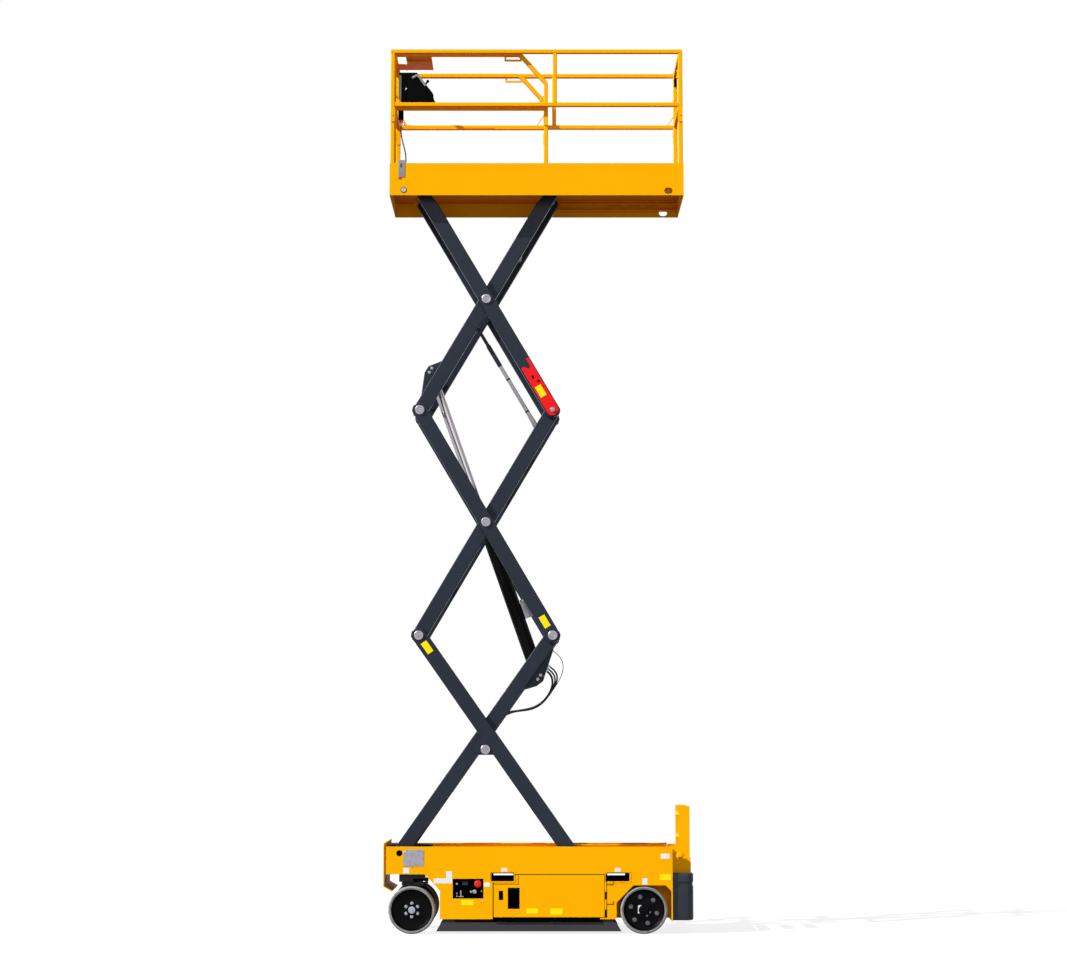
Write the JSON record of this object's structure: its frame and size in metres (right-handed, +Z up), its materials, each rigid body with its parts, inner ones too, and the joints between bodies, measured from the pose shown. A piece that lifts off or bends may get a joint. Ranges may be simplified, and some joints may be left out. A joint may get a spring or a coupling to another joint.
{
  "type": "scissor lift",
  "caption": "Self-propelled electric scissor lift, raised: three stages of folding arms carry a railed platform with a roll-out deck over a steered four-wheel chassis.",
  "frame": {"origin": "on the floor, under the middle of the machine's outer box", "axes": "+X from the steered front wheels to the ladder end, +Y to the far side, +Z up"},
  "size_m": [2.49, 0.817, 7.2664],
  "materials": {
    "yellow_paint": "satin",
    "arm_paint": "satin",
    "black_paint": "satin",
    "red_paint": "satin",
    "slate_plastic": "satin",
    "black_plastic": "matte",
    "red_plastic": "gloss",
    "grey_tyre": "matte",
    "bright_rod": "polished",
    "zinc": "satin",
    "battery_case": "matte",
    "hose_rubber": "matte"
  },
  "bodies": {
    "chassis": {"chassis_side_near": "yellow_paint", "chassis_side_far": "yellow_paint", "chassis_tray": "yellow_paint", "battery_bays": "yellow_paint", "wheel_arches": "yellow_paint", "arm_supports": "yellow_paint", "fork_pockets": "yellow_paint", "batteries": "battery_case", "control_panel": "black_plastic", "emergency_stop": "red_plastic", "front_bumper": "yellow_paint", "front_hood": "black_paint", "front_beam": "black_paint", "kingpin_housings": "black_paint", "rear_hubs": "black_paint", "rear_cover": "slate_plastic", "ladder": "yellow_paint", "guard_lugs": "black_paint"},
    "door_near": {"door_near": "yellow_paint"},
    "door_far": {"door_far": "yellow_paint"},
    "knuckle_near": {"knuckle_near": "black_paint"},
    "knuckle_far": {"knuckle_far": "black_paint"},
    "tie_rod": {"tie_rod": "black_paint"},
    "wheel_front_near": {"tyre_front_near": "grey_tyre", "rim_front_near": "black_paint"},
    "wheel_front_far": {"tyre_front_far": "grey_tyre", "rim_front_far": "black_paint"},
    "wheel_rear_near": {"tyre_rear_near": "grey_tyre", "rim_rear_near": "black_paint"},
    "wheel_rear_far": {"tyre_rear_far": "grey_tyre", "rim_rear_far": "black_paint"},
    "guard_near": {"pothole_guard_near": "black_paint"},
    "guard_far": {"pothole_guard_far": "black_paint"},
    "arm_a1": {"arm_a1": "arm_paint", "hose_outer": "hose_rubber", "hose_middle": "hose_rubber", "hose_inner": "hose_rubber", "sensor_cable": "hose_rubber"},
    "arm_b1": {"arm_b1": "arm_paint"},
    "arm_a2": {"arm_a2": "arm_paint"},
    "arm_b2": {"arm_b2": "arm_paint"},
    "arm_a3": {"arm_a3": "arm_paint"},
    "arm_b3": {"arm_b3": "arm_paint"},
    "link": {"hose_link": "zinc"},
    "prop": {"maintenance_prop": "red_paint"},
    "barrel": {"cylinder_barrel": "black_paint", "valve_block": "zinc"},
    "rod": {"cylinder_rod": "bright_rod"},
    "platform": {"platform_frame": "yellow_paint", "platform_tracks": "yellow_paint", "guardrails": "yellow_paint"},
    "gate": {"entry_gate": "yellow_paint"},
    "extension": {"extension_deck": "yellow_paint", "extension_rails": "yellow_paint", "control_box": "black_plastic", "control_shield": "yellow_paint", "socket_box": "zinc", "control_cable": "hose_rubber"}
  },
  "joints": [
    {"name": "lift", "type": "hinge", "parent": "chassis", "child": "arm_a1", "pos_m": [-1.116, 0, 0.642], "axis": [0, -1, 0], "range_deg": [-51.2, 0]},
    {"name": "centre_1", "type": "hinge", "parent": "arm_a1", "child": "arm_b1", "pos_m": [-0.42933, 0, 1.46911], "axis": [0, -1, 0], "range_deg": [0, 102.4]},
    {"name": "end_1", "type": "hinge", "parent": "arm_b1", "child": "arm_a2", "pos_m": [-0.97493, 0, 2.39536], "axis": [0, -1, 0], "range_deg": [-102.4, 0]},
    {"name": "centre_2", "type": "hinge", "parent": "arm_a2", "child": "arm_b2", "pos_m": [-0.42933, 0, 3.32161], "axis": [0, -1, 0], "range_deg": [0, 102.4]},
    {"name": "end_2", "type": "hinge", "parent": "arm_b2", "child": "arm_a3", "pos_m": [-0.97493, 0, 4.24786], "axis": [0, -1, 0], "range_deg": [-102.4, 0]},
    {"name": "centre_3", "type": "hinge", "parent": "arm_a3", "child": "arm_b3", "pos_m": [-0.42933, 0, 5.17411], "axis": [0, -1, 0], "range_deg": [0, 102.4]},
    {"name": "platform_pivot", "type": "hinge", "parent": "arm_b3", "child": "platform", "pos_m": [-0.97493, 0, 6.10036], "axis": [0, -1, 0], "range_deg": [-51.2, 0]},
    {"name": "link_pivot", "type": "hinge", "parent": "arm_a2", "child": "link", "pos_m": [0.01376, -0.162, 4.07381], "axis": [0, -1, 0], "range_deg": [0, 102.4]},
    {"name": "cylinder_pivot", "type": "hinge", "parent": "arm_a1", "child": "barrel", "pos_m": [0.00505, 0, 2.05796], "axis": [0, -1, 0], "range_deg": [0, 100.41]},
    {"name": "cylinder_stroke", "type": "slide", "parent": "barrel", "child": "rod", "axis": [-0.3315, 0, 0.9435], "range_m": [-1.10136, 0]},
    {"name": "prop_pivot", "type": "hinge", "parent": "arm_b3", "child": "prop", "pos_m": [0.11628, -0.318, 4.24786], "axis": [0, -1, 0], "range_deg": [0, 149.5]},
    {"name": "extension_slide", "type": "slide", "parent": "platform", "child": "extension", "axis": [-1, 0, 0], "range_m": [0, 0.92]},
    {"name": "gate_hinge", "type": "hinge", "parent": "platform", "child": "gate", "pos_m": [1.163, -0.32, 6.64636], "axis": [0, 0, 1], "range_deg": [0, 90]},
    {"name": "steer_near", "type": "hinge", "parent": "chassis", "child": "knuckle_near", "pos_m": [-1.015, -0.325, 0.41], "axis": [0, 0, 1], "range_deg": [-75, 75]},
    {"name": "steer_far", "type": "hinge", "parent": "chassis", "child": "knuckle_far", "pos_m": [-1.015, 0.325, 0.41], "axis": [0, 0, 1], "range_deg": [-75, 75]},
    {"name": "tie_rod_pivot", "type": "hinge", "parent": "knuckle_near", "child": "tie_rod", "pos_m": [-0.9, -0.325, 0.424], "axis": [0, 0, 1], "range_deg": [-75, 75]},
    {"name": "wheel_front_near_spin", "type": "hinge", "parent": "knuckle_near", "child": "wheel_front_near", "pos_m": [-1.015, -0.34, 0.19], "axis": [0, 1, 0], "continuous": true},
    {"name": "wheel_front_far_spin", "type": "hinge", "parent": "knuckle_far", "child": "wheel_front_far", "pos_m": [-1.015, 0.34, 0.19], "axis": [0, 1, 0], "continuous": true},
    {"name": "wheel_rear_near_spin", "type": "hinge", "parent": "chassis", "child": "wheel_rear_near", "pos_m": [0.845, -0.34, 0.19], "axis": [0, 1, 0], "continuous": true},
    {"name": "wheel_rear_far_spin", "type": "hinge", "parent": "chassis", "child": "wheel_rear_far", "pos_m": [0.845, 0.34, 0.19], "axis": [0, 1, 0], "continuous": true},
    {"name": "guard_near_fold", "type": "hinge", "parent": "chassis", "child": "guard_near", "pos_m": [0, -0.389, 0.106], "axis": [1, 0, 0], "range_deg": [0, 90]},
    {"name": "guard_far_fold", "type": "hinge", "parent": "chassis", "child": "guard_far", "pos_m": [0, 0.389, 0.106], "axis": [-1, 0, 0], "range_deg": [0, 90]},
    {"name": "door_near_hinge", "type": "hinge", "parent": "chassis", "child": "door_near", "pos_m": [0.54, -0.402, 0.3], "axis": [0, 0, 1], "range_deg": [0, 110]},
    {"name": "door_far_hinge", "type": "hinge", "parent": "chassis", "child": "door_far", "pos_m": [0.54, 0.402, 0.3], "axis": [0, 0, -1], "range_deg": [0, 110]}
  ],
  "couplings": [
    {"joint": "centre_1", "follows": "lift", "ratio": -2},
    {"joint": "end_1", "follows": "lift", "ratio": 2},
    {"joint": "centre_2", "follows": "lift", "ratio": -2},
    {"joint": "end_2", "follows": "lift", "ratio": 2},
    {"joint": "centre_3", "follows": "lift", "ratio": -2},
    {"joint": "platform_pivot", "follows": "lift", "ratio": 1},
    {"joint": "link_pivot", "follows": "lift", "ratio": -2},
    {"joint": "cylinder_pivot", "follows": "lift", "ratio": -1.9609},
    {"joint": "cylinder_stroke", "follows": "lift", "m_per_rad": 1.2323},
    {"joint": "guard_near_fold", "follows": "lift", "ratio": -1.7578},
    {"joint": "guard_far_fold", "follows": "lift", "ratio": -1.7578},
    {"joint": "steer_far", "follows": "steer_near", "ratio": 1},
    {"joint": "tie_rod_pivot", "follows": "steer_near", "ratio": -1}
  ]
}
